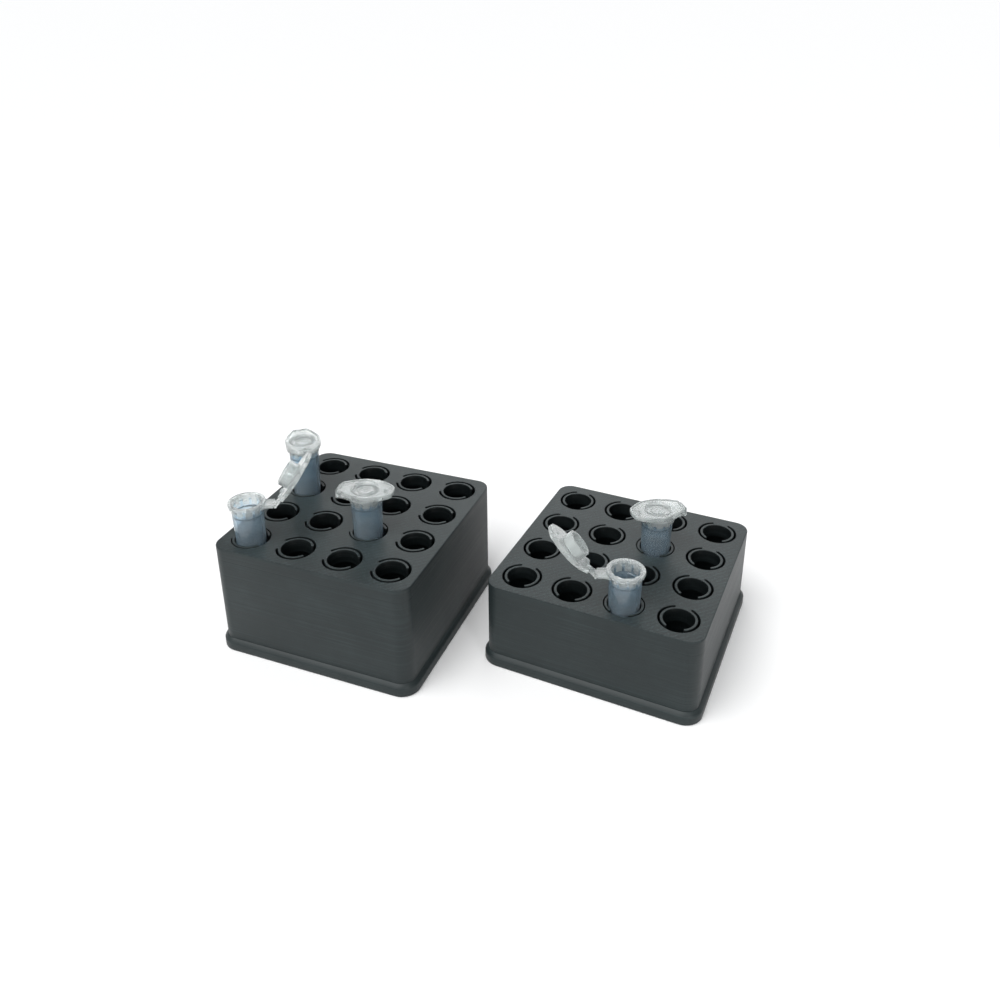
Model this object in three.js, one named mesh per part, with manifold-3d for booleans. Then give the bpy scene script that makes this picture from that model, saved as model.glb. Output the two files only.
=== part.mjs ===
// Bench set of two layer-printed tube blocks, each a grid of wells with a spring clip at every mouth,
// holding five snap-lid microtubes. Millimetres, +Z up. The origin is the centre of the tall block's
// underside: rows of wells run along X and Y, and the short block stands on the same bench beside it.
import * as THREE from "three";
import { mergeVertices } from "three/addons/utils/BufferGeometryUtils.js";
import Module from "manifold-3d";

const wasm = await Module();
wasm.setup();

// blocks
const wellPitch = 18;
const wellsPerSide = 4;
const blockWidth = 73.8;
const cornerRadius = 5;
const cornerSteps = 5;
const flangeProud = 1.3; // base flange beyond the walls
const flangeFace = 3.3; // height of its upright face
const flangeSlope = 1.1; // height of the slope above it
const floorThickness = 3;
const blocks = {
  tall: { height: 41.5, at: [0, 0], turn: 0, clipRoot: 180 },
  short: { height: 31.7, at: [92.3, 23.1], turn: -4.06, clipRoot: 90 },
};

// wells, and the spring clip at the mouth of each: a C of wall that the block carries at its root
const wellRadius = 6.75;
const wellSides = 16;
const cutOver = 1; // how far a cutter runs past the face that it opens
const clipDepth = 4.8;
const clipWall = 0.95;
const emptyClipBore = 5.05; // radius inside a relaxed clip
const spreadClipBore = 5.5; // radius inside a clip that grips a tube
const rootHalfAngle = 27;
const mouthHalfAngle = 35;
const clipGap = 0.3; // between a clip's root pad and the wall of its well
const arcStep = 22; // degrees a facet of the clip turns through

// tube, with z = 0 at the top of its rim
const tubeSides = 20;
const tubeLength = 38.5;
const tubeTopRadius = 5.4;
const tubeGripRadius = 5.1; // where the clip holds it
const gripBelowRim = 15;
const tubeEndRadius = 4.75;
const endBelowRim = 31;
const mouthRadius = 4.9;
const mouthDepth = 4.3;
const mouthSlope = 0.5;
const boreRadius = 4.5;
const boreEndRadius = 3.85;
const tipThickness = 1.1;
const outerTip = [
  [1.6, 0.3],
  [3.3, 2.3],
  [4.4, 5],
]; // radius, and height above the tube's lowest point
const innerTip = [
  [3.2, 5.2],
  [1.9, 2.6],
];
const rimRadius = 6.35;
const rimThickness = 1.1;
const collarRadius = 5.95;
const collarDepth = 2.3;
const collarNotches = 10;
const notchWidth = 1.9;
const notchReach = 1.4;
const notchGap = 0.05; // between a notch and the faces beside it

// flat strap, two-fold hinge and snap lid
const strapWidth = 4.6;
const strapThickness = 0.9;
const strapRoot = 0.8; // how far it runs in under the rim's edge
const hingeReach = 9.9; // tube axis to the first fold
const foldDrop = 1.4; // first fold below the rim's top
const linkLength = 2.4;
const linkWidth = 4.2;
const linkThickness = 0.8;
const foldGap = 0.32;
const lidUnder = 0.3; // underside of a shut lid above the rim
const lidThickness = 1.6;
const lidHalfOutline = [
  [-9.95, 0],
  [-9.8, 1.6],
  [-9.35, 3.0],
  [-7.3, 4.5],
  [-4.6, 5.85],
  [-1.5, 6.4],
  [1.5, 6.3],
  [4.5, 5.3],
  [7.5, 3.7],
  [9.2, 2.5],
];
const tabHoleRadius = 0.55;
const tabHoleReach = 7.1;
const tabHoleSides = 10;
const plugRadius = 4.5;
const plugWall = 0.8;
const plugDepth = 3.3; // skirt below the lid's underside
const plugSides = 16;
const plugRoot = 0.5; // how far the skirt runs up into the lid

// tubes: block, column and row of the well, height of the rim above the block, way the hinge points
// in degrees from the block's own +X, and how far both folds are open
const tubes = [
  { name: "tube_1", block: "tall", well: [0, 0], rimHeight: 14.4, hingeTurn: 24, folds: [40, 84] },
  { name: "tube_2", block: "tall", well: [0, 2], rimHeight: 18.6, hingeTurn: 129, folds: [0, 0] },
  { name: "tube_3", block: "tall", well: [2, 1], rimHeight: 15.2, hingeTurn: 190, folds: [0, 0] },
  { name: "tube_4", block: "short", well: [2, 2], rimHeight: 13.9, hingeTurn: 43, folds: [0, 0] },
  { name: "tube_5", block: "short", well: [2, 0], rimHeight: 13.2, hingeTurn: 206, folds: [42, 88.2] },
];

const blockPlastic = { color: 0x454c4d, roughness: 0.62, metalness: 0 };
const tubePlastic = { color: 0x9fadb8, roughness: 0.3, metalness: 0 };
const lidPlastic = { color: 0xc9d0d0, roughness: 0.38, metalness: 0 };

const radians = THREE.MathUtils.degToRad;

// geometry in, closed solid out
function solid(geometry) {
  const bare = geometry.index ? geometry.toNonIndexed() : geometry.clone();
  for (const name of Object.keys(bare.attributes)) {
    if (name !== "position") {
      bare.deleteAttribute(name);
    }
  }
  const merged = mergeVertices(bare, 1e-4);
  const vertProperties = new Float32Array(merged.attributes.position.array);
  const triVerts = new Uint32Array(merged.index.array);
  return new wasm.Manifold(new wasm.Mesh({ numProp: 3, vertProperties, triVerts }));
}

function meshOf(name, shape, finish) {
  const { vertProperties, triVerts } = shape.getMesh();
  const geometry = new THREE.BufferGeometry();
  geometry.setAttribute("position", new THREE.BufferAttribute(vertProperties, 3));
  geometry.setIndex(new THREE.BufferAttribute(triVerts, 1));
  geometry.computeVertexNormals();
  const mesh = new THREE.Mesh(geometry, new THREE.MeshStandardMaterial(finish));
  mesh.name = name;
  return mesh;
}

// upright prism of an outline between two heights
function prism(outline, low, high) {
  const geometry = new THREE.ExtrudeGeometry(outline, {
    depth: high - low,
    bevelEnabled: false,
    curveSegments: cornerSteps,
  });
  return solid(geometry.translate(0, 0, low));
}

function drum(radius, low, high, sides) {
  const geometry = new THREE.CylinderGeometry(radius, radius, high - low, sides);
  return solid(geometry.rotateX(Math.PI / 2).translate(0, 0, (low + high) / 2));
}

function plate(length, width, thickness, x, z) {
  return solid(new THREE.BoxGeometry(length, width, thickness).translate(x, 0, z));
}

// a profile of [radius, height] points turned about Z
function turned(profile, sides) {
  const points = profile.map(([r, z]) => new THREE.Vector2(r, z));
  return solid(new THREE.LatheGeometry(points, sides).rotateX(Math.PI / 2));
}

function arcPoints(radius, from, to) {
  const steps = Math.max(2, Math.round(Math.abs(to - from) / arcStep));
  return Array.from({ length: steps + 1 }, (_, i) => {
    const angle = radians(from + ((to - from) * i) / steps);
    return new THREE.Vector2(radius * Math.cos(angle), radius * Math.sin(angle));
  });
}

function roundedSquare(width, radius) {
  const h = width / 2;
  const shape = new THREE.Shape();
  shape.moveTo(-h + radius, -h);
  shape.absarc(h - radius, -h + radius, radius, -Math.PI / 2, 0);
  shape.absarc(h - radius, h - radius, radius, 0, Math.PI / 2);
  shape.absarc(-h + radius, h - radius, radius, Math.PI / 2, Math.PI);
  shape.absarc(-h + radius, -h + radius, radius, Math.PI, (3 * Math.PI) / 2);
  return shape;
}

// one spring clip seen from above: a C that opens at its mouth, with a pad at its root towards the wall
function clipOutline(bore, root) {
  const back = bore + clipWall;
  const mouth = root + 180;
  const pad = Math.max(back, wellRadius - clipGap);
  return new THREE.Shape([
    ...arcPoints(bore, mouth + 360 - mouthHalfAngle, mouth + mouthHalfAngle),
    ...arcPoints(back, mouth + mouthHalfAngle, root + 360 - rootHalfAngle),
    ...(pad > back ? arcPoints(pad, root + 360 - rootHalfAngle, root + 360 + rootHalfAngle) : []),
    ...arcPoints(back, root + 360 + rootHalfAngle, mouth + 360 - mouthHalfAngle),
  ]);
}

function buildClip(blockName, column, row) {
  const { height, clipRoot } = blocks[blockName];
  const bore = holdsTube(blockName, column, row) ? spreadClipBore : emptyClipBore;
  const [x, y] = wellCentre([column, row]);
  return prism(clipOutline(bore, clipRoot), height - clipDepth, height).translate([x, y, 0]);
}

function wellCentre([column, row]) {
  const middle = (wellsPerSide - 1) / 2;
  return [(column - middle) * wellPitch, (row - middle) * wellPitch];
}

const wells = Array.from({ length: wellsPerSide ** 2 }, (_, i) => {
  return [i % wellsPerSide, Math.floor(i / wellsPerSide)];
});

function holdsTube(blockName, column, row) {
  return tubes.some((t) => t.block === blockName && t.well[0] === column && t.well[1] === row);
}

function buildBlock(blockName) {
  const { height } = blocks[blockName];
  const outline = roundedSquare(blockWidth, cornerRadius);
  const flange = new THREE.ExtrudeGeometry(outline, {
    depth: flangeFace,
    bevelThickness: flangeSlope,
    bevelSize: flangeProud,
    bevelSegments: 1,
    curveSegments: cornerSteps,
  });
  const cutSize = 2 * blockWidth;
  const below = solid(new THREE.BoxGeometry(cutSize, cutSize, cutSize).translate(0, 0, -cutSize / 2));
  let block = prism(outline, 0, height).add(solid(flange)).subtract(below);
  const across = wellRadius / Math.cos(Math.PI / wellSides);
  for (const [column, row] of wells) {
    const [x, y] = wellCentre([column, row]);
    const well = drum(across, floorThickness, height + cutOver, wellSides);
    block = block.subtract(well.translate([x, y, 0]));
  }
  return block;
}

// hollow tube body with its rim, notched collar and strap
function buildTubeBody() {
  const profile = [
    [0, -tubeLength],
    ...outerTip.map(([r, up]) => [r, up - tubeLength]),
    [tubeEndRadius, -endBelowRim],
    [tubeGripRadius, -gripBelowRim],
    [tubeTopRadius, -collarDepth],
    [collarRadius, -collarDepth],
    [collarRadius, -rimThickness],
    [rimRadius, -rimThickness],
    [rimRadius, 0],
    [mouthRadius, 0],
    [mouthRadius, -mouthDepth],
    [boreRadius, -mouthDepth - mouthSlope],
    [boreEndRadius, -endBelowRim],
    ...innerTip.map(([r, up]) => [r, up - tubeLength]),
    [0, tipThickness - tubeLength],
  ];
  let body = turned(profile, tubeSides);
  const notchHeight = collarDepth - rimThickness;
  const notchAt = tubeTopRadius + notchGap + notchReach / 2;
  const notch = plate(notchReach, notchWidth, notchHeight, notchAt, -collarDepth + notchHeight / 2 - notchGap);
  for (let i = 0; i < collarNotches; i++) {
    const turn = (360 / collarNotches) * (i + 0.5);
    body = body.subtract(notch.rotate([0, 0, turn]));
  }
  const strapInner = rimRadius - strapRoot;
  const strapOuter = hingeReach - linkThickness / 2 - foldGap;
  const strapMiddle = (strapOuter + strapInner) / 2;
  return body.add(plate(strapOuter - strapInner, strapWidth, strapThickness, strapMiddle, -foldDrop));
}

// flat link between the two folds, standing up from the first one
function buildLink() {
  return plate(linkThickness, linkWidth, linkLength - 2 * foldGap, 0, linkLength / 2);
}

// lid with its plug skirt, from the second fold towards -X
function buildLid() {
  const underside = lidUnder + foldDrop - linkLength;
  const topside = underside + lidThickness;
  const outline = new THREE.Shape([
    ...lidHalfOutline.map(([x, y]) => new THREE.Vector2(x, -y)),
    ...lidHalfOutline.slice(1).reverse().map(([x, y]) => new THREE.Vector2(x, y)),
  ]);
  const hole = drum(tabHoleRadius, underside - cutOver, topside + cutOver, tabHoleSides);
  const skirt = turned(
    [
      [plugRadius - plugWall, underside - plugDepth],
      [plugRadius, underside - plugDepth],
      [plugRadius, underside + plugRoot],
      [plugRadius - plugWall, underside + plugRoot],
      [plugRadius - plugWall, underside - plugDepth],
    ],
    plugSides,
  );
  return prism(outline, underside, topside)
    .subtract(hole.translate([-tabHoleReach, 0, 0]))
    .add(skirt)
    .translate([-hingeReach, 0, 0]);
}

function buildTube({ name, well, rimHeight, hingeTurn, folds }, blockHeight) {
  const [x, y] = wellCentre(well);
  const tube = new THREE.Group();
  tube.position.set(x, y, blockHeight + rimHeight);
  tube.rotation.z = radians(hingeTurn);
  tube.add(meshOf(`${name}_body`, buildTubeBody(), tubePlastic));

  const firstFold = new THREE.Group();
  firstFold.position.set(hingeReach, 0, -foldDrop);
  firstFold.rotation.y = radians(folds[0]);
  firstFold.add(meshOf(`${name}_hinge_link`, buildLink(), lidPlastic));
  tube.add(firstFold);

  const secondFold = new THREE.Group();
  secondFold.position.set(0, 0, linkLength);
  secondFold.rotation.y = radians(folds[1]);
  secondFold.add(meshOf(`${name}_lid`, buildLid(), lidPlastic));
  firstFold.add(secondFold);
  return tube;
}

const rack = new THREE.Group();
for (const [blockName, { height, at, turn }] of Object.entries(blocks)) {
  const stand = new THREE.Group();
  stand.position.set(at[0], at[1], 0);
  stand.rotation.z = radians(turn);
  stand.add(meshOf(`${blockName}_block`, buildBlock(blockName), blockPlastic));
  for (const [column, row] of wells) {
    const clipName = `${blockName}_clip_${column + 1}_${row + 1}`;
    stand.add(meshOf(clipName, buildClip(blockName, column, row), blockPlastic));
  }
  for (const tube of tubes.filter((t) => t.block === blockName)) {
    stand.add(buildTube(tube, height));
  }
  rack.add(stand);
}

export default rack;
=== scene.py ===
import math
import random

import bmesh
import bpy
from mathutils import Matrix, Vector


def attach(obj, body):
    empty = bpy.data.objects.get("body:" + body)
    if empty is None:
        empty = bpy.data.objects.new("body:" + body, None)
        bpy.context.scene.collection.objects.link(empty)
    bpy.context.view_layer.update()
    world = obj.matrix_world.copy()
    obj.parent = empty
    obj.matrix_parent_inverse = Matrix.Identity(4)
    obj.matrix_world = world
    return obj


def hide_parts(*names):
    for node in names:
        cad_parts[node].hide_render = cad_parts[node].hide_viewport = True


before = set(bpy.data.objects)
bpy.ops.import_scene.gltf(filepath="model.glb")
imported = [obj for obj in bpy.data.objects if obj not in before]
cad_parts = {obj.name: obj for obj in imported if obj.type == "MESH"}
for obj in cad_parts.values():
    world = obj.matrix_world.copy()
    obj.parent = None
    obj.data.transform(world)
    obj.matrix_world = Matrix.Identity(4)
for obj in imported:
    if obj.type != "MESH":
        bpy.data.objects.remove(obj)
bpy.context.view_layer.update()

# Two layer-printed blocks of spring-clip wells, with five snap-lid microtubes standing in them.
# Lengths below are millimetres and become metres as each mesh is put in its place.
toMetres = Matrix.Scale(0.001, 4)


def linear(hexColour):
    parts = [int(hexColour[i : i + 2], 16) / 255 for i in (1, 3, 5)]
    return [c / 12.92 if c <= 0.04045 else ((c + 0.055) / 1.055) ** 2.4 for c in parts] + [1.0]


def addNode(tree, kind, settings=None, links=None):
    node = tree.nodes.new(kind)
    for key, value in (settings or {}).items():
        if isinstance(key, str) and hasattr(node, key):
            setattr(node, key, value)
        else:
            node.inputs[key].default_value = value
    for key, source in (links or {}).items():
        tree.links.new(source, node.inputs[key])
    return node


def loft(name, rings, capped=False):
    # joins each ring of points to the next, and a ring of one point closes the shape to a pole
    work = bmesh.new()
    loops = [[work.verts.new(p) for p in ring] for ring in rings]
    for a, b in zip(loops, loops[1:]):
        count = max(len(a), len(b))
        for i in range(count):
            j = (i + 1) % count
            if len(a) == 1:
                work.faces.new((a[0], b[j], b[i]))
            elif len(b) == 1:
                work.faces.new((a[i], a[j], b[0]))
            else:
                work.faces.new((a[i], a[j], b[j], b[i]))
    if capped:
        work.faces.new(list(reversed(loops[0])))
        work.faces.new(loops[-1])
    bmesh.ops.recalc_face_normals(work, faces=work.faces)
    return addObject(name, work)


def addObject(name, work):
    mesh = bpy.data.meshes.new(name)
    work.to_mesh(mesh)
    work.free()
    thing = bpy.data.objects.new(name, mesh)
    bpy.context.scene.collection.objects.link(thing)
    return thing


def settle(thing):
    # the evaluated shape becomes a plain mesh
    view = bpy.context.evaluated_depsgraph_get()
    mesh = bpy.data.meshes.new_from_object(thing.evaluated_get(view))
    thing.modifiers.clear()
    thing.data = mesh
    return thing


def combine(thing, other, how):
    change = thing.modifiers.new(how.lower(), "BOOLEAN")
    change.operation = how
    change.solver = "MANIFOLD"
    change.object = other
    settle(thing)
    bpy.data.objects.remove(other)
    return thing


def finishWith(thing, *materials):
    # an applied Boolean leaves an empty slot, so the slots start again
    thing.data.materials.clear()
    for material in materials:
        thing.data.materials.append(material)
    thing.data.polygons.foreach_set("material_index", [0] * len(thing.data.polygons))


def smoothBelow(thing, degrees):
    thing.data.shade_smooth()
    thing.data.set_sharp_from_angle(angle=math.radians(degrees))
    for face in thing.data.polygons:
        if abs(face.normal.z) > 0.999:
            face.use_smooth = False  # so that a rounded edge doesn't shade far across a level face


def circle(radius, z, sides):
    if radius < 1e-6:
        return [Vector((0, 0, z))]
    turns = [2 * math.pi * i / sides for i in range(sides)]
    return [Vector((radius * math.cos(t), radius * math.sin(t), z)) for t in turns]


def softened(corners, radius, steps=3):
    # a line of [r, z] points with its inner corners rounded
    points = [Vector(corners[0])]
    for before, here, after in zip(corners, corners[1:], corners[2:]):
        a, b, c = Vector(before), Vector(here), Vector(after)
        reach = min(radius, (a - b).length * 0.45, (c - b).length * 0.45)
        start = b + (a - b).normalized() * reach
        end = b + (c - b).normalized() * reach
        for i in range(steps + 1):
            t = i / steps
            points.append(start * (1 - t) ** 2 + b * 2 * t * (1 - t) + end * t**2)
    return points + [Vector(corners[-1])]


def inset(outline, amount):
    # moves each point of a flat outline inwards, along the mean of its two edges' normals
    moved = []
    for i, here in enumerate(outline):
        a = (here - outline[i - 1]).normalized()
        b = (outline[(i + 1) % len(outline)] - here).normalized()
        normal = Vector((-(a.y + b.y), a.x + b.x))
        moved.append(here + normal.normalized() * amount / max(0.5, math.cos(a.angle(b, 0) / 2)))
    return moved


def slab(name, outline, low, high, edge=0.12):
    # a flat piece with this outline, anticlockwise, and softly rounded edges
    outline = [Vector(p) for p in outline]
    edge = min(edge, (high - low) * 0.45)
    rings = []
    for back, z in ((1, low), (0.3, low + 0.3 * edge), (0, low + edge)):
        rings.append([Vector((p.x, p.y, z)) for p in inset(outline, back * edge)])
    for back, z in ((0, high - edge), (0.3, high - 0.3 * edge), (1, high)):
        rings.append([Vector((p.x, p.y, z)) for p in inset(outline, back * edge)])
    return loft(name, rings, capped=True)


def arc(centre, radius, start, end, steps):
    turns = [math.radians(start + (end - start) * i / steps) for i in range(steps + 1)]
    return [Vector((centre[0] + radius * math.cos(t), centre[1] + radius * math.sin(t))) for t in turns]


# finishes

blockFinish = {
    "dark": "#181f20",
    "mid": "#272f30",
    "pale": "#424d4e",
    "layerHeight": 0.5,  # mm, over twice the real 0.2 so that the layers show
    "rasterPitch": 0.8,  # mm between top strokes, twice the nozzle's 0.4 so that they show
    "speckSize": 0.38,  # mm
    "layerDepth": 0.04,  # mm of relief
    "layerTint": 0.4,  # how far the layers change the colour
    "layerDrift": 14,  # a line wanders over about 70 mm
    "cloudScale": 55.0,  # soft patches about 18 mm across
    "gloss": 0.4,
    "bumpStrength": 0.8,
    "roughness": (0.38, 0.55),
}
# inside the wells the colours are painted darker, a painted shade for the little light that comes back
# there; the layers are coarser and glossier
borePaintedShadeFinish = {
    **blockFinish,
    "dark": "#060909",
    "mid": "#0d1213",
    "pale": "#262e2f",
    "layerHeight": 0.45,
    "layerDepth": 0.16,
    "layerTint": 0.5,
    "roughness": (0.3, 0.5),
}


def printedPla(name, finish):
    # charcoal PLA laid down in layers: satin, with fine lines on the walls and a speckled,
    # slanted raster on top
    material = bpy.data.materials.new(name)
    material.use_nodes = True
    tree = material.node_tree
    tree.nodes.clear()
    out = addNode(tree, "ShaderNodeOutputMaterial")
    shader = addNode(
        tree, "ShaderNodeBsdfPrincipled", {"IOR": 1.46, "Specular IOR Level": finish["gloss"]}
    )
    tree.links.new(shader.outputs[0], out.inputs["Surface"])
    place = addNode(tree, "ShaderNodeTexCoord").outputs["Object"]
    surface = addNode(tree, "ShaderNodeNewGeometry")
    facing = addNode(tree, "ShaderNodeSeparateXYZ", {}, {0: surface.outputs["Normal"]})
    onTop = addNode(
        tree, "ShaderNodeMapRange", {"From Min": 0.8, "From Max": 0.95}, {"Value": facing.outputs["Z"]}
    ).outputs[0]

    # layers up the walls: noise drawn out sideways, so that each line wanders and fades
    layerScale = (finish["layerDrift"], finish["layerDrift"], 1000 / finish["layerHeight"])
    stretched = addNode(tree, "ShaderNodeMapping", {"Scale": layerScale}, {"Vector": place})
    layers = addNode(
        tree,
        "ShaderNodeTexNoise",
        {"Scale": 1.0, "Detail": 5.0, "Roughness": 0.7},
        {"Vector": stretched.outputs[0]},
    ).outputs[0]
    # slanted strokes of the top layer
    slant = addNode(tree, "ShaderNodeMapping", {"Rotation": (0, 0, math.radians(45))}, {"Vector": place})
    strokes = addNode(
        tree,
        "ShaderNodeTexWave",
        {
            "wave_type": "BANDS",
            "bands_direction": "X",
            "Scale": 1000 / finish["rasterPitch"] / 20 * math.pi,
            "Distortion": 2.5,
            "Detail": 3.0,
            "Detail Scale": 3.0,
        },
        {"Vector": slant.outputs[0]},
    ).outputs["Fac"]
    specks = addNode(
        tree,
        "ShaderNodeTexNoise",
        {"Scale": 1000 / finish["speckSize"], "Detail": 2.0, "Roughness": 0.7},
        {"Vector": place},
    ).outputs[0]
    cloud = addNode(
        tree,
        "ShaderNodeTexNoise",
        {"Scale": finish["cloudScale"], "Detail": 3.0, "Roughness": 0.55},
        {"Vector": place},
    ).outputs[0]

    grit = addNode(
        tree, "ShaderNodeMapRange", {"From Min": 0.3, "From Max": 0.7}, {"Value": specks}
    ).outputs[0]
    topMix = addNode(
        tree, "ShaderNodeMix", {"data_type": "FLOAT", 0: 0.22}, {2: grit, 3: strokes}
    ).outputs[0]
    pattern = addNode(
        tree, "ShaderNodeMix", {"data_type": "FLOAT"}, {0: onTop, 2: layers, 3: topMix}
    ).outputs[0]
    # on the walls the layers show more by their relief than by their colour
    tint = finish["layerTint"]
    faint = addNode(
        tree, "ShaderNodeMapRange", {"To Min": 0.5 - tint, "To Max": 0.5 + tint}, {"Value": layers}
    ).outputs[0]
    shade = addNode(
        tree, "ShaderNodeMix", {"data_type": "FLOAT"}, {0: onTop, 2: faint, 3: topMix}
    ).outputs[0]
    clouded = addNode(
        tree, "ShaderNodeMix", {"data_type": "FLOAT", 0: 0.3}, {2: shade, 3: cloud}
    ).outputs[0]
    colour = addNode(tree, "ShaderNodeValToRGB", {}, {"Fac": clouded})
    ramp = colour.color_ramp.elements
    ramp[0].position, ramp[0].color = 0.15, linear(finish["dark"])
    ramp[1].position, ramp[1].color = 0.85, linear(finish["pale"])
    ramp.new(0.5).color = linear(finish["mid"])
    tree.links.new(colour.outputs[0], shader.inputs["Base Color"])

    smooth, rough = finish["roughness"]
    polish = addNode(
        tree,
        "ShaderNodeMapRange",
        {"From Min": 0.3, "From Max": 0.7, "To Min": smooth, "To Max": rough},
        {"Value": pattern},
    )
    tree.links.new(polish.outputs[0], shader.inputs["Roughness"])
    bump = addNode(
        tree,
        "ShaderNodeBump",
        {"Strength": finish["bumpStrength"], "Distance": finish["layerDepth"] / 1000},
        {"Height": pattern},
    )
    tree.links.new(bump.outputs[0], shader.inputs["Normal"])
    return material


tubeFinish = {
    "clear": "#c4dae8",
    "cloudy": "#dcebf4",
    "flowSize": 9.0,  # mm across one cloudy patch
    "transmission": 0.85,
    "roughness": (0.12, 0.15),
}
lidFinish = {
    "clear": "#e2e9e8",
    "cloudy": "#f3f6f5",
    "flowSize": 4.0,
    "transmission": 0.72,
    "roughness": (0.14, 0.24),
}


def mouldedPolypropylene(name, finish):
    # natural polypropylene, injection moulded: milky, see-through where thin, with a waxy gloss
    material = bpy.data.materials.new(name)
    material.use_nodes = True
    tree = material.node_tree
    tree.nodes.clear()
    out = addNode(tree, "ShaderNodeOutputMaterial")
    shader = addNode(
        tree,
        "ShaderNodeBsdfPrincipled",
        {"IOR": 1.49, "Transmission Weight": finish["transmission"], "Specular IOR Level": 0.5},
    )
    tree.links.new(shader.outputs[0], out.inputs["Surface"])
    place = addNode(tree, "ShaderNodeTexCoord").outputs["Object"]
    flow = addNode(
        tree, "ShaderNodeTexNoise", {"Scale": 1000 / finish["flowSize"], "Detail": 1.0}, {"Vector": place}
    ).outputs[0]
    colour = addNode(tree, "ShaderNodeValToRGB", {}, {"Fac": flow})
    colour.color_ramp.elements[0].position = 0.3
    colour.color_ramp.elements[0].color = linear(finish["clear"])
    colour.color_ramp.elements[1].position = 0.75
    colour.color_ramp.elements[1].color = linear(finish["cloudy"])
    tree.links.new(colour.outputs[0], shader.inputs["Base Color"])
    smooth, rough = finish["roughness"]
    polish = addNode(
        tree,
        "ShaderNodeMapRange",
        {"From Min": 0.3, "From Max": 0.7, "To Min": smooth, "To Max": rough},
        {"Value": flow},
    )
    tree.links.new(polish.outputs[0], shader.inputs["Roughness"])
    return material


blockPlastic = printedPla("charcoalPlaPrinted", blockFinish)
# the bore material carries painted shade: its colours are darker than the block's own
borePaintedShadePlastic = printedPla("charcoalPlaPrintedBorePaintedShade", borePaintedShadeFinish)
tubePlastic = mouldedPolypropylene("clearPolypropyleneMoulded", tubeFinish)
lidPlastic = mouldedPolypropylene("frostedPolypropyleneMoulded", lidFinish)
print("finishes made")

# blocks

blockShape = {
    "pitch": 18.0,  # between wells
    "perSide": 4,
    "width": 73.8,
    "corner": 5.0,
    "flangeProud": 1.3,
    "flangeFace": 3.3,
    "flangeSlope": 1.1,
    "floor": 3.0,  # under the wells
    "layer": 0.6,  # one printed layer, three times the real 0.2 so that it shows
    "groove": 0.014,  # between two layers
    "topEdge": 0.3,
    "wellRadius": 6.75,
    "clipDepth": 4.8,
    "clipWall": 0.95,
    "clipBore": 5.05,
    "grippingBore": 5.5,  # round a tube
    "rootHalfAngle": 27,
    "mouthHalfAngle": 35,
    "clipEdge": 0.2,
}
blocks = {
    "tall_block": {
        "height": 41.5,
        "at": (0, 0),
        "turn": 0,
        "clipRoot": 180,
        "tubesIn": [(0, 0), (0, 2), (2, 1)],
    },
    "short_block": {
        "height": 31.7,
        "at": (92.3, 23.1),
        "turn": -4.06,
        "clipRoot": 90,
        "tubesIn": [(2, 2), (2, 0)],
    },
}


def roundedSquare(proud, z, steps=9):
    s = blockShape
    half = s["width"] / 2 + proud
    radius = s["corner"] + proud
    points = []
    for quarter in range(4):
        turn = Matrix.Rotation(math.radians(90 * quarter), 2)
        for p in arc((half - radius, half - radius), radius, 0, 90, steps):
            q = turn @ p
            points.append(Vector((q.x, q.y, z)))
    return points


def addBlank(name, height, seed):
    # the block before its wells: flange, slope and a wall whose layers each bulge a little
    s = blockShape
    chance = random.Random(seed)
    rings = [roundedSquare(s["flangeProud"] - 0.35, 0), roundedSquare(s["flangeProud"] - 0.05, 0.25)]
    rings += [
        roundedSquare(s["flangeProud"], 0.6),
        roundedSquare(s["flangeProud"], s["flangeFace"] - 0.3),
        roundedSquare(s["flangeProud"] - 0.1, s["flangeFace"]),
        roundedSquare(0.12, s["flangeFace"] + s["flangeSlope"] - 0.1),
        roundedSquare(-0.06, s["flangeFace"] + s["flangeSlope"] + 0.05),
    ]
    z = s["flangeFace"] + s["flangeSlope"] + 0.3
    clipLine = height - s["clipDepth"]
    while z + s["layer"] < height - s["topEdge"] - 0.1:
        depth = s["groove"] * chance.uniform(0.3, 1.3)
        if z <= clipLine < z + s["layer"]:
            depth = s["groove"] * 2.4  # the printer's path changes where the clips begin
        bulge = -s["groove"] * chance.uniform(0, 0.35)
        rings.append(roundedSquare(bulge, z + 0.15 * s["layer"]))
        rings.append(roundedSquare(bulge, z + 0.8 * s["layer"]))
        rings.append(roundedSquare(-depth, z + 0.97 * s["layer"]))
        z += s["layer"]
    edge = s["topEdge"]
    rings += [
        roundedSquare(0, height - edge),
        roundedSquare(-0.3 * edge, height - 0.3 * edge),
        roundedSquare(-edge, height),
    ]
    return loft(name, rings, capped=True)


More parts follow.
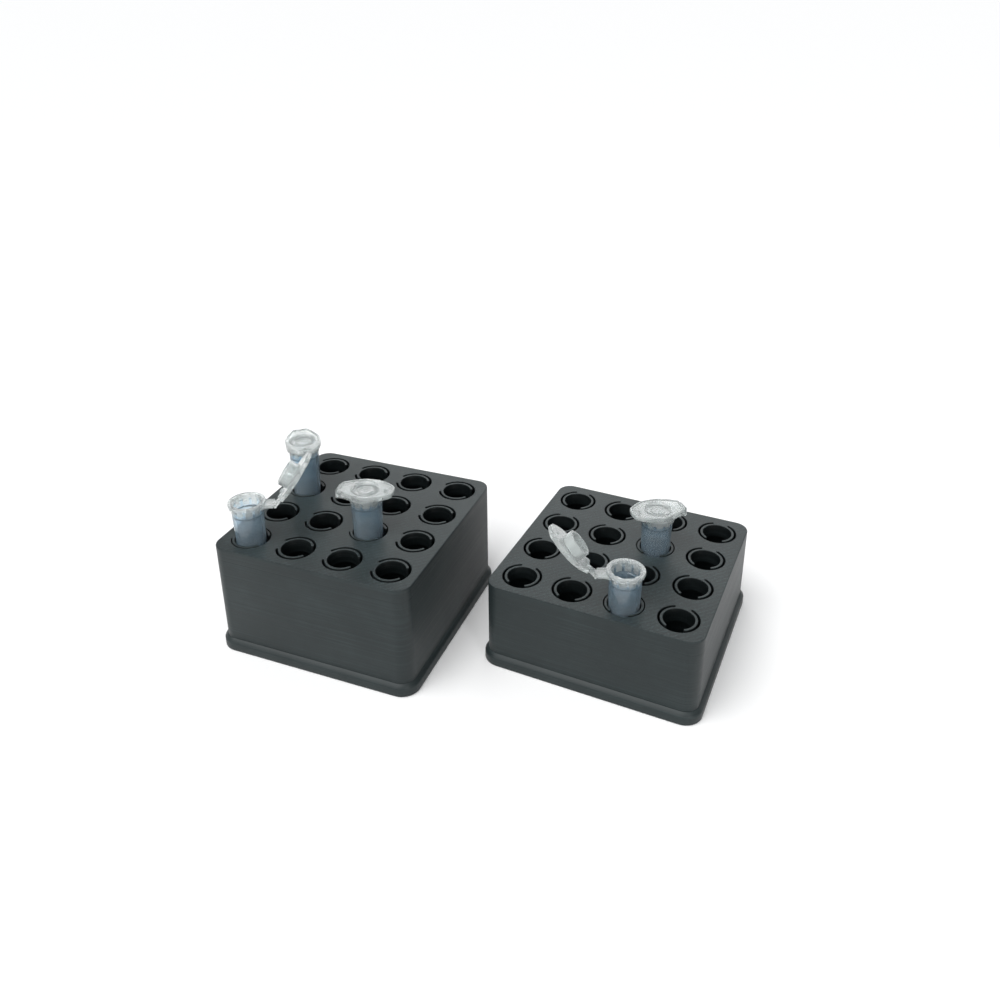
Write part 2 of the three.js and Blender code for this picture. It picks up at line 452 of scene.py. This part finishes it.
def clipOpening(name, bore, height):
    # the open space round one clip: its bore, the mouth between the arms and the slot behind them
    s = blockShape
    root, mouth = 0, 180
    rootHalf, mouthHalf = s["rootHalfAngle"], s["mouthHalfAngle"]
    back = bore + s["clipWall"]
    edge = s["clipEdge"]
    levels = (
        (0, height - s["clipDepth"] - 0.4),
        (0, height - edge),
        (0.3 * edge, height - 0.3 * edge),
        (edge, height),
        (edge, height + 0.5),
    )
    rings = []
    for wider, z in levels:
        slotMiddle = (s["wellRadius"] + back) / 2
        slotHalf = (s["wellRadius"] - back) / 2 + wider
        armMiddle = bore + s["clipWall"] / 2
        armHalf = s["clipWall"] / 2 - wider
        outline = arc((0, 0), s["wellRadius"] + wider, root + rootHalf, root + 360 - rootHalf, 44)
        for sideTurn in (1, -1):
            slotEnd = math.radians(root - sideTurn * rootHalf)
            armEnd = math.radians(mouth + sideTurn * mouthHalf)
            slotAt = (slotMiddle * math.cos(slotEnd), slotMiddle * math.sin(slotEnd))
            armAt = (armMiddle * math.cos(armEnd), armMiddle * math.sin(armEnd))
            slotFacing = math.degrees(slotEnd)
            armFacing = math.degrees(armEnd)
            if sideTurn == 1:
                outline += arc(slotAt, slotHalf, slotFacing, slotFacing + 180, 6)[1:-1]
                outline += arc((0, 0), back - wider, root + 360 - rootHalf, mouth + mouthHalf, 20)
                outline += arc(armAt, armHalf, armFacing, armFacing - 180, 6)[1:-1]
                outline += arc((0, 0), bore + wider, mouth + mouthHalf, mouth + 360 - mouthHalf, 46)
            else:
                outline += arc(armAt, armHalf, armFacing + 180, armFacing, 6)[1:-1]
                outline += arc((0, 0), back - wider, mouth - mouthHalf, root + rootHalf, 20)
                outline += arc(slotAt, slotHalf, slotFacing + 180, slotFacing + 360, 6)[1:-1]
        rings.append([Vector((p.x, p.y, z)) for p in outline])
    return loft(name, rings, capped=True)


def wellOpening(name, height):
    # the plain round well under the clips
    s = blockShape
    radius = s["wellRadius"] + 0.03
    top = height - s["clipDepth"]
    sizes = ((radius - 0.5, s["floor"]), (radius, s["floor"] + 0.5), (radius, top))
    return loft(name, [circle(r, z, 56) for r, z in sizes], capped=True)


def wellTree():
    # cuts a well at every point, and a wider clip where the point's tubeHere is 1
    tree = bpy.data.node_groups.new("wellsInBlock", "GeometryNodeTree")
    face = tree.interface
    face.new_socket(name="Points", in_out="INPUT", socket_type="NodeSocketGeometry")
    for name, kind in (
        ("Blank", "NodeSocketObject"),
        ("Empty clip", "NodeSocketObject"),
        ("Gripping clip", "NodeSocketObject"),
        ("Well", "NodeSocketObject"),
        ("Pitch", "NodeSocketFloat"),
        ("Clip turn", "NodeSocketFloat"),
        ("Plastic", "NodeSocketMaterial"),
    ):
        face.new_socket(name=name, in_out="INPUT", socket_type=kind)
    face.new_socket(name="Block", in_out="OUTPUT", socket_type="NodeSocketGeometry")
    given = addNode(tree, "NodeGroupInput").outputs
    where = addNode(tree, "GeometryNodeInputPosition").outputs[0]
    spaced = addNode(
        tree, "ShaderNodeVectorMath", {"operation": "SCALE"}, {0: where, "Scale": given["Pitch"]}
    )
    points = addNode(
        tree,
        "GeometryNodeSetPosition",
        {},
        {"Geometry": given["Points"], "Position": spaced.outputs[0]},
    ).outputs[0]
    tubeHere = addNode(
        tree, "GeometryNodeInputNamedAttribute", {"data_type": "BOOLEAN", "Name": "tubeHere"}
    ).outputs[0]
    noTube = addNode(tree, "FunctionNodeBooleanMath", {"operation": "NOT"}, {0: tubeHere}).outputs[0]
    turn = addNode(tree, "ShaderNodeCombineXYZ", {}, {"Z": given["Clip turn"]}).outputs[0]
    openings = []
    for name, chosen in (("Empty clip", noTube), ("Gripping clip", tubeHere), ("Well", None)):
        shape = addNode(
            tree, "GeometryNodeObjectInfo", {"As Instance": True}, {"Object": given[name]}
        ).outputs["Geometry"]
        links = {"Points": points, "Instance": shape, "Rotation": turn}
        if chosen:
            links["Selection"] = chosen
        copies = addNode(tree, "GeometryNodeInstanceOnPoints", {}, links)
        openings.append(
            addNode(tree, "GeometryNodeRealizeInstances", {}, {0: copies.outputs[0]}).outputs[0]
        )
    block = addNode(tree, "GeometryNodeObjectInfo", {}, {"Object": given["Blank"]}).outputs["Geometry"]
    for opening in reversed(openings):
        cut = addNode(
            tree,
            "GeometryNodeMeshBoolean",
            {"operation": "DIFFERENCE", "solver": "MANIFOLD"},
            {0: block, 1: opening},
        )
        block = cut.outputs[0]
    real = addNode(tree, "GeometryNodeRealizeInstances", {}, {0: block})
    painted = addNode(
        tree,
        "GeometryNodeSetMaterial",
        {},
        {"Geometry": real.outputs[0], "Material": given["Plastic"]},
    )
    addNode(tree, "NodeGroupOutput", {}, {0: painted.outputs[0]})
    return tree


def setInputs(modifier, values):
    for item in modifier.node_group.interface.items_tree:
        if item.in_out == "INPUT" and item.name in values:
            modifier[item.identifier] = values[item.name]


wells = wellTree()
stands = {}
for number, (name, block) in enumerate(blocks.items()):
    s = blockShape
    middle = (s["perSide"] - 1) / 2
    cells = [(c, r) for c in range(s["perSide"]) for r in range(s["perSide"])]
    mesh = bpy.data.meshes.new(name)
    mesh.from_pydata([(c - middle, r - middle, 0) for c, r in cells], [], [])
    held = mesh.attributes.new("tubeHere", "BOOLEAN", "POINT")
    held.data.foreach_set("value", [cell in block["tubesIn"] for cell in cells])
    piece = bpy.data.objects.new(name + "_printed", mesh)
    bpy.context.scene.collection.objects.link(piece)
    shapes = {
        "Blank": addBlank("blank", block["height"], 11 + number),
        "Empty clip": clipOpening("emptyClip", s["clipBore"], block["height"]),
        "Gripping clip": clipOpening("grippingClip", s["grippingBore"], block["height"]),
        "Well": wellOpening("well", block["height"]),
    }
    change = piece.modifiers.new("wells", "NODES")
    change.node_group = wells
    setInputs(
        change,
        {
            **shapes,
            "Pitch": s["pitch"],
            "Clip turn": math.radians(block["clipRoot"]),
            "Plastic": blockPlastic,
        },
    )
    settle(piece)
    for shape in shapes.values():
        bpy.data.objects.remove(shape)
    stand = Matrix.Translation((*block["at"], 0)) @ Matrix.Rotation(math.radians(block["turn"]), 4, "Z")
    stands[name] = stand
    # upright faces inside a well take the darker colours, painted shade for the well's hollow
    finishWith(piece, blockPlastic, borePaintedShadePlastic)
    for face in piece.data.polygons:
        x, y = (face.center.x / s["pitch"] + middle) % 1, (face.center.y / s["pitch"] + middle) % 1
        off = math.hypot(min(x, 1 - x), min(y, 1 - y)) * s["pitch"]
        if off < s["wellRadius"] + 0.1 and face.normal.z < 0.5:
            face.material_index = 1
    piece.data.transform(toMetres @ stand)
    smoothBelow(piece, 30)
    clips = [f"{name.split('_')[0]}_clip_{c + 1}_{r + 1}" for c, r in cells]
    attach(piece, name)
    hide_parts(name, *clips)
    print(name, "made with", len(piece.data.polygons), "faces")

# tubes, each with z = 0 at the top of its rim and its hinge towards +X

tubeShape = {
    "sides": 72,
    "profile": [
        [0, -38.5],
        [1.6, -38.2],
        [3.3, -36.2],
        [4.4, -33.5],
        [4.75, -31.0],
        [5.1, -15.0],
        [5.4, -3.3],
        [5.4, -1.1],
        [6.35, -1.1],
        [6.35, 0],
        [4.9, 0],
        [4.9, -4.3],
        [4.5, -4.8],
        [3.85, -31.0],
        [3.2, -33.3],
        [1.9, -35.9],
        [0, -37.4],
    ],
    "softness": 0.22,
    "teeth": 10,
    "outerTooth": (5.2, 5.93, 1.75, -2.28, -0.9),  # inner and outer reach, width, low and high
    "innerTooth": (4.62, 5.1, 1.5, -1.15, -0.04),
    "milkyAbove": -2.32,  # the thick rim, teeth and strap lie above this and outside the radius below
    "milkyOutside": 4.6,
    "strapHalfWidth": 2.28,
    "strapEnd": 9.18,
    "filmHalfWidth": 1.9,  # the thin hinge film at each fold
    "filmHalfThickness": 0.17,
    "filmEnds": (9.62, 9.56),  # how far the strap's film and the lid's film reach
    "foldReach": 9.9,
    "foldDrop": 1.4,
    "linkLength": 2.4,
}
tubes = {
    "tube_1": {"block": "tall_block", "well": (0, 0), "rim": 14.4, "turn": 24, "folds": (40, 84)},
    "tube_2": {"block": "tall_block", "well": (0, 2), "rim": 18.6, "turn": 129, "folds": (0, 0)},
    "tube_3": {"block": "tall_block", "well": (2, 1), "rim": 15.2, "turn": 190, "folds": (0, 0)},
    "tube_4": {"block": "short_block", "well": (2, 2), "rim": 13.9, "turn": 43, "folds": (0, 0)},
    "tube_5": {"block": "short_block", "well": (2, 0), "rim": 13.2, "turn": 206, "folds": (42, 88.2)},
}


def teethTree():
    # joins the body with two rows of teeth set evenly round its rim
    tree = bpy.data.node_groups.new("teethRoundRim", "GeometryNodeTree")
    face = tree.interface
    face.new_socket(name="Body", in_out="INPUT", socket_type="NodeSocketGeometry")
    for name, kind in (
        ("Outer tooth", "NodeSocketObject"),
        ("Inner tooth", "NodeSocketObject"),
        ("Strap", "NodeSocketObject"),
        ("Teeth", "NodeSocketInt"),
        ("Plastic", "NodeSocketMaterial"),
    ):
        face.new_socket(name=name, in_out="INPUT", socket_type=kind)
    face.new_socket(name="Tube", in_out="OUTPUT", socket_type="NodeSocketGeometry")
    given = addNode(tree, "NodeGroupInput").outputs
    ring = addNode(
        tree, "GeometryNodeMeshLine", {"mode": "OFFSET", "Offset": (0, 0, 0)}, {"Count": given["Teeth"]}
    ).outputs[0]
    index = addNode(tree, "GeometryNodeInputIndex").outputs[0]
    half = addNode(tree, "ShaderNodeMath", {"operation": "ADD", 1: 0.5}, {0: index}).outputs[0]
    share = addNode(
        tree, "ShaderNodeMath", {"operation": "DIVIDE"}, {0: half, 1: given["Teeth"]}
    ).outputs[0]
    angle = addNode(tree, "ShaderNodeMath", {"operation": "MULTIPLY", 1: 2 * math.pi}, {0: share}).outputs[0]
    turn = addNode(tree, "ShaderNodeCombineXYZ", {}, {"Z": angle}).outputs[0]
    solid = given["Body"]
    for name in ("Outer tooth", "Inner tooth", "Strap"):
        shape = addNode(
            tree, "GeometryNodeObjectInfo", {"As Instance": name != "Strap"}, {"Object": given[name]}
        ).outputs["Geometry"]
        if name != "Strap":
            copies = addNode(
                tree,
                "GeometryNodeInstanceOnPoints",
                {},
                {"Points": ring, "Instance": shape, "Rotation": turn},
            )
            shape = addNode(tree, "GeometryNodeRealizeInstances", {}, {0: copies.outputs[0]}).outputs[0]
        union = addNode(
            tree, "GeometryNodeMeshBoolean", {"operation": "UNION", "solver": "MANIFOLD"}, {1: solid}
        )
        tree.links.new(shape, union.inputs[1])
        solid = union.outputs[0]
    real = addNode(tree, "GeometryNodeRealizeInstances", {}, {0: solid})
    painted = addNode(
        tree,
        "GeometryNodeSetMaterial",
        {},
        {"Geometry": real.outputs[0], "Material": given["Plastic"]},
    )
    addNode(tree, "NodeGroupOutput", {}, {0: painted.outputs[0]})
    return tree


def bar(name, reach, width, heights, edge):
    # a straight-sided slab between two reaches, two widths and two heights
    (x0, x1), (y0, y1) = reach, width
    return slab(name, [(x0, y0), (x1, y0), (x1, y1), (x0, y1)], *heights, edge)


def hingeFilm(reach, middle):
    half, thin = tubeShape["filmHalfWidth"], tubeShape["filmHalfThickness"]
    return bar("film", reach, (-half, half), (middle - thin, middle + thin), 0.05)


def tooth(name, size):
    near, far, width, low, high = size
    return bar(name, (near, far), (-width / 2, width / 2), (low, high), 0.14)


def addStrap():
    # flat strap that flares into the rim, a rib along each side and a thin film to the first fold
    t = tubeShape
    half, end, middle = t["strapHalfWidth"], t["strapEnd"], -t["foldDrop"]
    flare = [(5.2, -half - 0.9), (5.9, -half - 0.75), (6.6, -half - 0.2), (7.2, -half)]
    outline = flare + [(end, -half), (end, half)] + [(x, -y) for x, y in reversed(flare)]
    strap = slab("strap", outline, middle - 0.45, middle + 0.4, 0.15)
    for side in (1, -1):
        low, high = sorted((side * (half - 0.05), side * (half - 0.6)))
        combine(strap, bar("rib", (5.7, end - 0.1), (low, high), (middle, middle + 0.72), 0.12), "UNION")
    return combine(strap, hingeFilm((end - 0.5, t["filmEnds"][0]), middle), "UNION")


def addTubeBody():
    t = tubeShape
    line = softened(t["profile"], t["softness"])
    body = loft("tubeBody", [circle(p.x, p.y, t["sides"]) for p in line])
    parts = {
        "Outer tooth": tooth("outerTooth", t["outerTooth"]),
        "Inner tooth": tooth("innerTooth", t["innerTooth"]),
        "Strap": addStrap(),
    }
    change = body.modifiers.new("teeth", "NODES")
    change.node_group = teethTree()
    setInputs(change, {**parts, "Teeth": t["teeth"], "Plastic": tubePlastic})
    settle(body)
    for part in parts.values():
        bpy.data.objects.remove(part)
    # thick plastic scatters more light than the thin wall, so it takes the milkier finish
    finishWith(body, tubePlastic, lidPlastic)
    for face in body.data.polygons:
        x, y, z = face.center
        if z > t["milkyAbove"] and math.hypot(x, y) > t["milkyOutside"]:
            face.material_index = 1
    smoothBelow(body, 32)
    return body


linkShape = {"width": 4.15, "half": 0.4, "knuckle": 0.34, "knobRadius": 0.52, "knobWidth": 0.6}


def addLink():
    # short plate that ends in a round knuckle on each fold, with a small knob at the ends of the first
    k = linkShape
    top = tubeShape["linkLength"]
    side = [(k["half"], 0.55), (k["half"], top - 0.55)]
    outline = [Vector(p) for p in side]
    outline += arc((0, top), k["knuckle"], 0, 180, 8)
    outline += [Vector((-x, z)) for x, z in reversed(side)]
    outline += arc((0, 0), k["knuckle"], 180, 360, 8)
    link = slab("hingeLink", outline, -k["width"] / 2, k["width"] / 2, 0.12)
    for end in (-1, 1):
        middle = end * (k["width"] / 2 - 0.1)
        low, high = middle - k["knobWidth"] / 2, middle + k["knobWidth"] / 2
        combine(link, slab("knob", arc((0, 0), k["knobRadius"], 0, 337.5, 15), low, high, 0.15), "UNION")
    # drawn lying down, then stood up so that its length runs along +Z
    link.data.transform(Matrix(((1, 0, 0, 0), (0, 0, -1, 0), (0, 1, 0, 0), (0, 0, 0, 1))))
    finishWith(link, lidPlastic)
    smoothBelow(link, 32)
    return link


lidShape = {
    "halfOutline": [
        (-9.93, 0),
        (-9.78, 1.6),
        (-9.33, 3.0),
        (-7.3, 4.5),
        (-4.6, 5.85),
        (-1.5, 6.38),
        (1.5, 6.28),
        (4.5, 5.28),
        (7.5, 3.7),
        (9.2, 2.5),
        (9.2, 0),
    ],
    "under": -0.7,  # underside and top, from the second fold
    "top": 0.9,
    "edgeWidth": 0.75,
    "edgeHeight": 0.25,
    "trayRadius": 4.65,  # the sunk middle, with a raised ring and a dimple in it
    "trayDrop": 0.8,
    "ringRadius": 2.5,
    "plugRadius": 4.5,
    "plugWall": 0.8,
    "plugDepth": 3.3,
    "holeAt": -7.1,  # in the finger tab
    "holeRadius": 0.55,
    "ridgeAt": -8.0,  # grip across the tab
    "catch": (7.2, 8.6),  # two catches under the hinge end
    "sides": 112,
}


def outlineReach(turn):
    # how far the lid reaches from the tube's axis in this direction, on a smooth closed curve
    points = lidShape["halfOutline"]
    closed = [(math.atan2(y, x), math.hypot(x, y)) for x, y in points]
    closed = sorted(closed + [(-a, r) for a, r in closed[1:-1]])
    count = len(closed)
    for i in range(count):
        a0, r0 = closed[i]
        a1, r1 = closed[(i + 1) % count]
        span = (a1 - a0) % (2 * math.pi)
        step = (turn - a0) % (2 * math.pi)
        if step < span:
            ap, rp = closed[i - 1]
            an, rn = closed[(i + 2) % count]
            slopeHere = (r1 - rp) / ((a1 - ap) % (2 * math.pi))
            slopeNext = (rn - r0) / ((an - a0) % (2 * math.pi))
            t = step / span
            return (
                (2 * t**3 - 3 * t**2 + 1) * r0
                + (t**3 - 2 * t**2 + t) * span * slopeHere
                + (3 * t**2 - 2 * t**3) * r1
                + (t**3 - t**2) * span * slopeNext
            )
    return closed[0][1]


def addLid():
    # one closed skin: dished top with two ring steps, raised edge, then the underside and the plug skirt
    m = lidShape
    turns = [2 * math.pi * (i + 0.5) / m["sides"] for i in range(m["sides"])]
    edge = [outlineReach(t) for t in turns]

    def around(radius, z):
        return [Vector((radius * math.cos(t), radius * math.sin(t), z)) for t in turns]

    def along(back, z):
        return [
            Vector(((reach - back) * math.cos(t), (reach - back) * math.sin(t), z))
            for t, reach in zip(turns, edge)
        ]

    top, under = m["top"], m["under"]
    dish = top - m["edgeHeight"]
    tray, floor = m["trayRadius"], dish - m["trayDrop"]
    ring = m["ringRadius"]
    plug, inside = m["plugRadius"], m["plugRadius"] - m["plugWall"]
    foot = under - m["plugDepth"]
    rings = [
        [Vector((0, 0, floor - 0.12))],
        around(0.7, floor - 0.12),
        around(1.0, floor),
        around(ring - 0.75, floor + 0.02),
        around(ring - 0.45, floor + 0.05),
        around(ring - 0.28, floor + 0.26),
        around(ring, floor + 0.3),
        around(ring + 0.22, floor + 0.22),
        around(ring + 0.4, floor + 0.12),
        around(tray - 0.95, floor + 0.3),
        around(tray - 0.55, floor + 0.42),
        around(tray - 0.3, dish - 0.02),
        around(tray - 0.1, dish + 0.1),
        around(tray + 0.15, dish + 0.08),
        around(tray + 0.4, dish),
        along(m["edgeWidth"] + 0.3, dish),
        along(m["edgeWidth"], top - 0.05),
        along(m["edgeWidth"] - 0.15, top),
        along(0.25, top),
        along(0.07, top - 0.07),
        along(0, top - 0.25),
        along(0, under + 0.22),
        along(0.07, under + 0.06),
        along(0.25, under),
        around(5.2, under),
        around(plug + 0.12, under),
        around(plug, under - 0.12),
        around(plug - 0.1, under - 1.2),
        around(plug, under - 2.1),
        around(plug - 0.05, foot + 0.2),
        around(plug - 0.25, foot + 0.05),
        around(plug - 0.4, foot),
        around(inside + 0.05, foot + 0.08),
        around(inside, foot + 0.1),
        around(inside, under - 0.25),
        around(inside - 0.2, under),
        around(2.4, under),
        around(2.2, under - 0.14),
        around(1.9, under - 0.14),
        around(1.7, under),
        [Vector((0, 0, under))],
    ]
    lid = loft("snapLid", rings)
    hole = loft("hole", [circle(m["holeRadius"], z, 24) for z in (under - 1, top + 1)], capped=True)
    hole.data.transform(Matrix.Translation((m["holeAt"], 0, 0)))
    combine(lid, hole, "DIFFERENCE")
    combine(lid, hingeFilm((8.6, tubeShape["filmEnds"][1]), 0), "UNION")
    grip = (m["ridgeAt"] - 0.15, m["ridgeAt"] + 0.15)
    combine(lid, bar("ridge", grip, (-2.3, 2.3), (under + 0.5, top + 0.05), 0.1), "UNION")
    for side in (1, -1):
        width = sorted((side * 1.3, side * 2.2))
        combine(lid, bar("catch", m["catch"], width, (under - 0.65, under + 0.4), 0.14), "UNION")
        corners = [(-7.7, side * 0.55), (-6.5, side * 0.8), (-6.6, side * 1.6)][::side]
        combine(lid, slab("foldMark", corners, dish - 0.3, dish + 0.16, 0.06), "UNION")
    lid.data.transform(Matrix.Translation((-tubeShape["foldReach"], 0, 0)))
    finishWith(lid, lidPlastic)
    smoothBelow(lid, 32)
    return lid


patterns = {"body": addTubeBody(), "hinge_link": addLink(), "lid": addLid()}
bodyOf = {"body": "", "hinge_link": "_link", "lid": "_lid"}
middle = (blockShape["perSide"] - 1) / 2
for name, tube in tubes.items():
    column, row = tube["well"]
    spot = ((column - middle) * blockShape["pitch"], (row - middle) * blockShape["pitch"])
    rimTop = blocks[tube["block"]]["height"] + tube["rim"]
    base = (
        stands[tube["block"]]
        @ Matrix.Translation((*spot, rimTop))
        @ Matrix.Rotation(math.radians(tube["turn"]), 4, "Z")
    )
    firstFold = (
        base
        @ Matrix.Translation((tubeShape["foldReach"], 0, -tubeShape["foldDrop"]))
        @ Matrix.Rotation(math.radians(tube["folds"][0]), 4, "Y")
    )
    secondFold = (
        firstFold
        @ Matrix.Translation((0, 0, tubeShape["linkLength"]))
        @ Matrix.Rotation(math.radians(tube["folds"][1]), 4, "Y")
    )
    for part, place in (("body", base), ("hinge_link", firstFold), ("lid", secondFold)):
        piece = bpy.data.objects.new(name + "_" + part + "_moulded", patterns[part].data.copy())
        bpy.context.scene.collection.objects.link(piece)
        piece.data.transform(toMetres @ place)
        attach(piece, name + bodyOf[part])
        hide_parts(name + "_" + part)
for pattern in patterns.values():
    bpy.data.objects.remove(pattern)
print(len(tubes), "tubes made")

# floor, lights and camera

studio = {
    "floor": "#ffffff",
    "sky": "#f4f6f8",
    "skyStrength": 0.32,
    "skySeen": 1.0,  # the backdrop looks white and still lights the set softly
    "sun": {"from": (-0.3, -0.6, 1.0), "spread": 60, "power": 2.75},
    "back": {"at": (-0.1, 0.95, 0.5), "aim": (0.05, 0.0, 0.03), "wide": 1.2, "high": 0.5, "power": 4.0},
    "strip": {
        "at": (0.62, -0.52, 0.3),
        "aim": (0.04, -0.03, 0.03),
        "wide": 0.08,
        "high": 0.6,
        "power": 1.3,
    },
    "floorSize": 60.0,
}
work = bmesh.new()
bmesh.ops.create_grid(work, x_segments=1, y_segments=1, size=studio["floorSize"])
floor = addObject("floor", work)
floor.data.transform(Matrix.Translation((0, 0, -0.00005)))  # just clear of the blocks' undersides
paper = bpy.data.materials.new("paperSweep")
paper.use_nodes = True
matt = paper.node_tree.nodes["Principled BSDF"].inputs
matt["Base Color"].default_value = linear(studio["floor"])
matt["Roughness"].default_value = 0.9
matt["Specular IOR Level"].default_value = 0.1
floor.data.materials.append(paper)
floor.visible_diffuse = False  # no light comes back off the floor to the blocks' sides

world = bpy.data.worlds.new("studio")
world.use_nodes = True
sky = world.node_tree.nodes["Background"].inputs
sky["Color"].default_value = linear(studio["sky"])
seen = addNode(world.node_tree, "ShaderNodeLightPath").outputs["Is Camera Ray"]
strength = addNode(
    world.node_tree,
    "ShaderNodeMix",
    {"data_type": "FLOAT", 2: studio["skyStrength"], 3: studio["skySeen"]},
    {0: seen},
).outputs[0]
world.node_tree.links.new(strength, sky["Strength"])
bpy.context.scene.world = world


def addLight(name, kind, at, aim, power):
    lamp = bpy.data.lights.new(name, kind)
    lamp.energy = power
    light = bpy.data.objects.new(name, lamp)
    light.location = at
    light.rotation_euler = (Vector(aim) - Vector(at)).to_track_quat("-Z", "Y").to_euler()
    bpy.context.scene.collection.objects.link(light)
    return lamp


sun = studio["sun"]
addLight("sun", "SUN", sun["from"], (0, 0, 0), sun["power"]).angle = math.radians(sun["spread"])
for name in ("back", "strip"):
    box = studio[name]
    lamp = addLight(name, "AREA", box["at"], box["aim"], box["power"])
    lamp.shape = "RECTANGLE"
    lamp.size, lamp.size_y = box["wide"], box["high"]

lens = {
    "at": (0.1489, -0.2430, 0.2152),
    "turn": 21.575,
    "tilt": 22.787,
    "roll": -0.506,
    "focal": 32.52,
    "sensor": 36,
    "shift": (0.0067, -0.1307),
}
camera = bpy.data.objects.new("camera", bpy.data.cameras.new("camera"))
camera.data.lens = lens["focal"]
camera.data.sensor_width = lens["sensor"]
camera.data.shift_x, camera.data.shift_y = lens["shift"]
camera.data.clip_start = 0.01
camera.matrix_world = (
    Matrix.Translation(lens["at"])
    @ Matrix.Rotation(math.radians(lens["turn"]), 4, "Z")
    @ Matrix.Rotation(math.radians(90 - lens["tilt"]), 4, "X")
    @ Matrix.Rotation(math.radians(lens["roll"]), 4, "Z")
)
bpy.context.scene.collection.objects.link(camera)
bpy.context.scene.camera = camera
bpy.context.scene.view_settings.view_transform = "Standard"
print("studio set")
